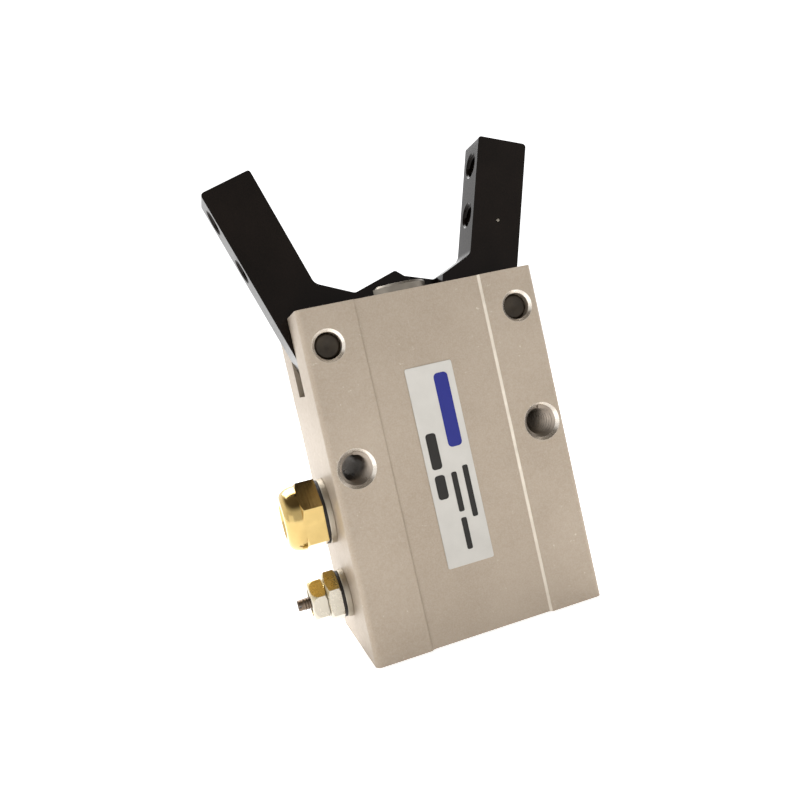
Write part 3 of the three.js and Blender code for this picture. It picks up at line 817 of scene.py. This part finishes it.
def hexagon(name, across_flats, low, high, z, turn):
    """A hexagon bar along X. "turn" is how far its front corner stands above straight ahead, in degrees."""
    radius = across_flats / math.sqrt(3)
    angles = [math.radians(180 - turn + 60 * k) for k in range(6)]
    outline = [(radius * math.cos(a), z + radius * math.sin(a)) for a in angles]
    return prism(name, "x", outline, low, high)


def quarter_turn(width, height, steps):
    """Points (across, along) on a quarter of an ellipse, from its end on the axis to its widest place."""
    angles = [math.pi / 2 * k / steps for k in range(steps + 1)]
    return [(width * math.sin(a), -height * math.cos(a)) for a in angles]


def cap_nut():
    """A hexagon with its corners turned off, a round nose and the hole that takes the air tube."""
    inner, end = FITTING_X, CAP_NUT_END
    hex_end = inner - 2.7
    nose = [(2.9 + a, end + 2 + b) for a, b in quarter_turn(1.35, 2, 6)]
    envelope = [(0, end), *nose, (4.25, hex_end), (4.8, hex_end + 0.35), (4.8, inner), (0, inner)]
    nut = hexagon("brass_cap_nut", 8.2, end - 1, inner, PORT_Z, 18)
    combine(nut, [cylinder("x", 4.3, end - 1, hex_end, (0, 0, PORT_Z))], "UNION")
    combine(nut, [lathe("cutter", "x", envelope, (0, 0, PORT_Z))], "INTERSECT")
    mouth = [
        (0, end - 1),
        (3.4, end - 1),
        (2.1, end + 0.3),
        (2.1, inner - 1.6),
        (2.75, inner - 1.6),
        (2.75, inner + 1),
        (0, inner + 1),
    ]
    combine(nut, [lathe("cutter", "x", mouth, (0, 0, PORT_Z))])
    dress(crisp(nut), HOUSING, "brass", MATERIALS["brass"], "inlet_cap_nut")


def ring_on_x(name, node, inner_radius, z, slot, width=0.06):
    """A plain ring that fills the CAD ring's place, with its edges broken."""
    low, high = box_mm(node)
    outer_radius = (high.z - low.z) / 2
    profile = [(inner_radius, low.x), (outer_radius, low.x), (outer_radius, high.x), (inner_radius, high.x)]
    ring = soften(lathe(name, "x", profile, (0, 0, z)), width)
    dress(ring, HOUSING, slot, MATERIALS[slot], node)


def throttle_body():
    """The valve's body: a hexagon with turned corners on a threaded stub, and a neck for the lock nut."""
    inner = FITTING_X
    outer = inner - 1.75
    envelope = [
        (0, outer),
        (2.85, outer),
        (3.43, outer + 0.33),
        (3.43, inner - 0.2),
        (3.2, inner),
        (0, inner),
    ]
    body = hexagon("throttle_hexagon", 5.95, outer, inner, THROTTLE_Z, 27)
    combine(body, [lathe("cutter", "x", envelope, (0, 0, THROTTLE_Z))], "INTERSECT")
    stub = cylinder("x", 2, inner - 0.1, -11.6, (0, 0, THROTTLE_Z), 64)
    neck = cylinder("x", 1.75, outer - 1.9, outer + 0.1, (0, 0, THROTTLE_Z), 64)
    combine(body, [stub, neck], "UNION")
    combine(body, [cylinder("x", 0.86, outer - 3, -11, (0, 0, THROTTLE_Z), 48)])
    dress(crisp(body), HOUSING, "worn_brass", MATERIALS["worn_brass"], "throttle_body")


def lock_nut():
    low, high = LOCK_NUT_LOW, LOCK_NUT_HIGH
    crown = [(2.1 + a, low + 1.1 + b) for a, b in quarter_turn(0.69, 1.1, 5)]
    envelope = [(0, low), *crown, (2.79, high - 0.15), (2.6, high), (0, high)]
    nut = hexagon("throttle_nut", 4.85, low, high, THROTTLE_Z, 22)
    combine(nut, [lathe("cutter", "x", envelope, (0, 0, THROTTLE_Z))], "INTERSECT")
    combine(nut, [cylinder("x", 1.8, low - 1, high + 1, (0, 0, THROTTLE_Z), 64)])
    node = "throttle_lock_nut"
    dress(crisp(nut), HOUSING, "worn_brass", MATERIALS["worn_brass"], node)


def needle():
    """The adjusting screw, with a fine thread and a screwdriver slot."""
    end = NEEDLE_END
    profile = [(0, end), (0.6, end), (0.72, end + 0.12), (0.72, -12.6), (0.25, -10.6), (0, -10.6)]
    screw = lathe("throttle_screw", "x", profile, (0, 0, THROTTLE_Z), 48)
    slot = block((end - 1, -1, THROTTLE_Z - 0.14), (end + 0.5, 1, THROTTLE_Z + 0.14))
    combine(screw, [slot])
    material = turned_metal("oiled_steel", (0.08, 0.06, 0.045), (0.16, 0.12, 0.09), 0.35)
    dress(soften(screw, 0.03), NEEDLE, "dark_steel", material, "throttle_needle")
    centre = (0, 0, THROTTLE_Z)
    ridge = thread("throttle_screw_thread", "x", centre, 0.7, 0.8, 0.35, end + 0.75, end + 4.5)
    dress(ridge, NEEDLE, "dark_steel", material)


def fittings():
    ring_on_x("inlet_collar", "inlet_washer", 2.7, PORT_Z, "nickel_plate", 0.1)
    ring_on_x("inlet_gasket", "inlet_face_seal", 2.7, PORT_Z, "seal_rubber")
    ring_on_x("inlet_sleeve", "inlet_ferrule", 1.25, PORT_Z, "bronze")
    ring_on_x("throttle_collar", "throttle_washer", 2.1, THROTTLE_Z, "nickel_plate", 0.1)
    ring_on_x("throttle_gasket", "throttle_face_seal", 2.1, THROTTLE_Z, "seal_rubber")
    cap_nut()
    throttle_body()
    lock_nut()
    needle()


def dress_inner_nodes():
    """The pieces inside keep their CAD shape and take a better material."""
    slots = {row["node"]: row["material_slot"] for row in frame["record"]["subparts"]}
    for name, obj in frame["nodes"].items():
        if obj.hide_render:
            continue
        obj.data.materials.clear()
        obj.data.materials.append(MATERIALS[slots[name]])


# ---------- stage, light and camera ----------


def floor():
    bm = bmesh.new()
    corners = [bm.verts.new((x, y, 0)) for x, y in ((-6, -6), (6, -6), (6, 6), (-6, 6))]
    bm.faces.new(corners)
    plane = made("floor", bm)
    n = Nodes("pale_floor")
    tone = n.ramp(n.noise(3, 3), (0.3, (0.9, 0.9, 0.9)), (0.7, (0.93, 0.93, 0.93)))
    roughness = n.ramp(n.noise(9), (0.3, 0.8), (0.7, 0.9))
    shader = n.shader.inputs
    shader["Emission Color"].default_value = (1, 1, 1, 1)
    shader["Emission Strength"].default_value = 0.72
    plane.data.materials.append(n.finish(tone, roughness=roughness, metallic=0))


def area_light(name, place, aim, size, power, colour=(1, 1, 1)):
    data = bpy.data.lights.new(name, "AREA")
    data.shape = "RECTANGLE"
    data.size, data.size_y = size
    data.energy = power
    data.color = colour
    light = bpy.data.objects.new(name, data)
    light.location = place
    light.rotation_mode = "QUATERNION"
    light.rotation_quaternion = (Vector(aim) - Vector(place)).to_track_quat("-Z", "Y")
    bpy.context.scene.collection.objects.link(light)


def world_light():
    """A studio with a bright wall behind the gripper, a dimmer room behind the camera and a dark ceiling."""
    world = bpy.data.worlds.new("studio")
    bpy.context.scene.world = world
    world.use_nodes = True
    tree = world.node_tree
    background = tree.nodes["Background"]
    coordinates = tree.nodes.new("ShaderNodeTexCoord")
    split = tree.nodes.new("ShaderNodeSeparateXYZ")
    ceiling = tree.nodes.new("ShaderNodeValToRGB")
    wall = tree.nodes.new("ShaderNodeMapRange")
    tree.links.new(coordinates.outputs["Generated"], split.inputs[0])
    tree.links.new(split.outputs["Z"], ceiling.inputs["Fac"])
    tree.links.new(ceiling.outputs["Color"], background.inputs["Color"])
    tree.links.new(split.outputs["Y"], wall.inputs["Value"])
    tree.links.new(wall.outputs["Result"], background.inputs["Strength"])
    ceiling.color_ramp.elements[0].position = 0.5
    ceiling.color_ramp.elements[0].color = (1, 1, 1, 1)
    ceiling.color_ramp.elements[1].position = 0.75
    ceiling.color_ramp.elements[1].color = (0.11, 0.09, 0.07, 1)
    for name, value in (("From Min", -0.6), ("From Max", 0.3), ("To Min", 0.8), ("To Max", 1.35)):
        wall.inputs[name].default_value = value


def lights():
    middle = (0, 0, 0.03)
    area_light("key", (-0.4, -0.3, 0.04), middle, (0.3, 0.3), 0.16)
    area_light("fill", (0.3, -0.6, 0.15), middle, (0.4, 0.4), 0.1)
    area_light("floor_wash", (-0.1, 0.5, 0.6), (-0.1, 0.35, 0), (0.6, 0.6), 8)
    world_light()


# The camera's place, from a target on the gripper, and its angles in degrees
CAMERA_TARGET = Vector((-2.545, 0, 30.094)) * MM
CAMERA_DISTANCE = 100.84 * MM
AZIMUTH, ELEVATION, ROLL = 14.644, 2.477, -12.7
FOCAL_LENGTH = 33.63


def camera():
    data = bpy.data.cameras.new("camera")
    data.sensor_width = 36
    data.lens = FOCAL_LENGTH
    data.clip_start = 0.005
    obj = bpy.data.objects.new("camera", data)
    az, el, roll = (math.radians(a) for a in (AZIMUTH, ELEVATION, ROLL))
    forward = Vector((math.sin(az) * math.cos(el), math.cos(az) * math.cos(el), -math.sin(el)))
    right = forward.cross(Vector((0, 0, 1))).normalized()
    up = right.cross(forward)
    rolled_right = right * math.cos(roll) + up * math.sin(roll)
    rolled_up = up * math.cos(roll) - right * math.sin(roll)
    rotation = Matrix((rolled_right, rolled_up, -forward)).transposed()
    obj.matrix_world = Matrix.Translation(CAMERA_TARGET - forward * CAMERA_DISTANCE) @ rotation.to_4x4()
    bpy.context.scene.collection.objects.link(obj)
    bpy.context.scene.camera = obj


bpy.context.scene.view_settings.view_transform = "Standard"
camera()
lights()
floor()
housing()
housing_threads()
pivot_pins()
name_plate()
for side_word, side_sign in SIDES.items():
    finger(side_word, side_sign)
finger_bushes()
piston_rod()
end_cap()
retaining_ring()
fittings()
dress_inner_nodes()
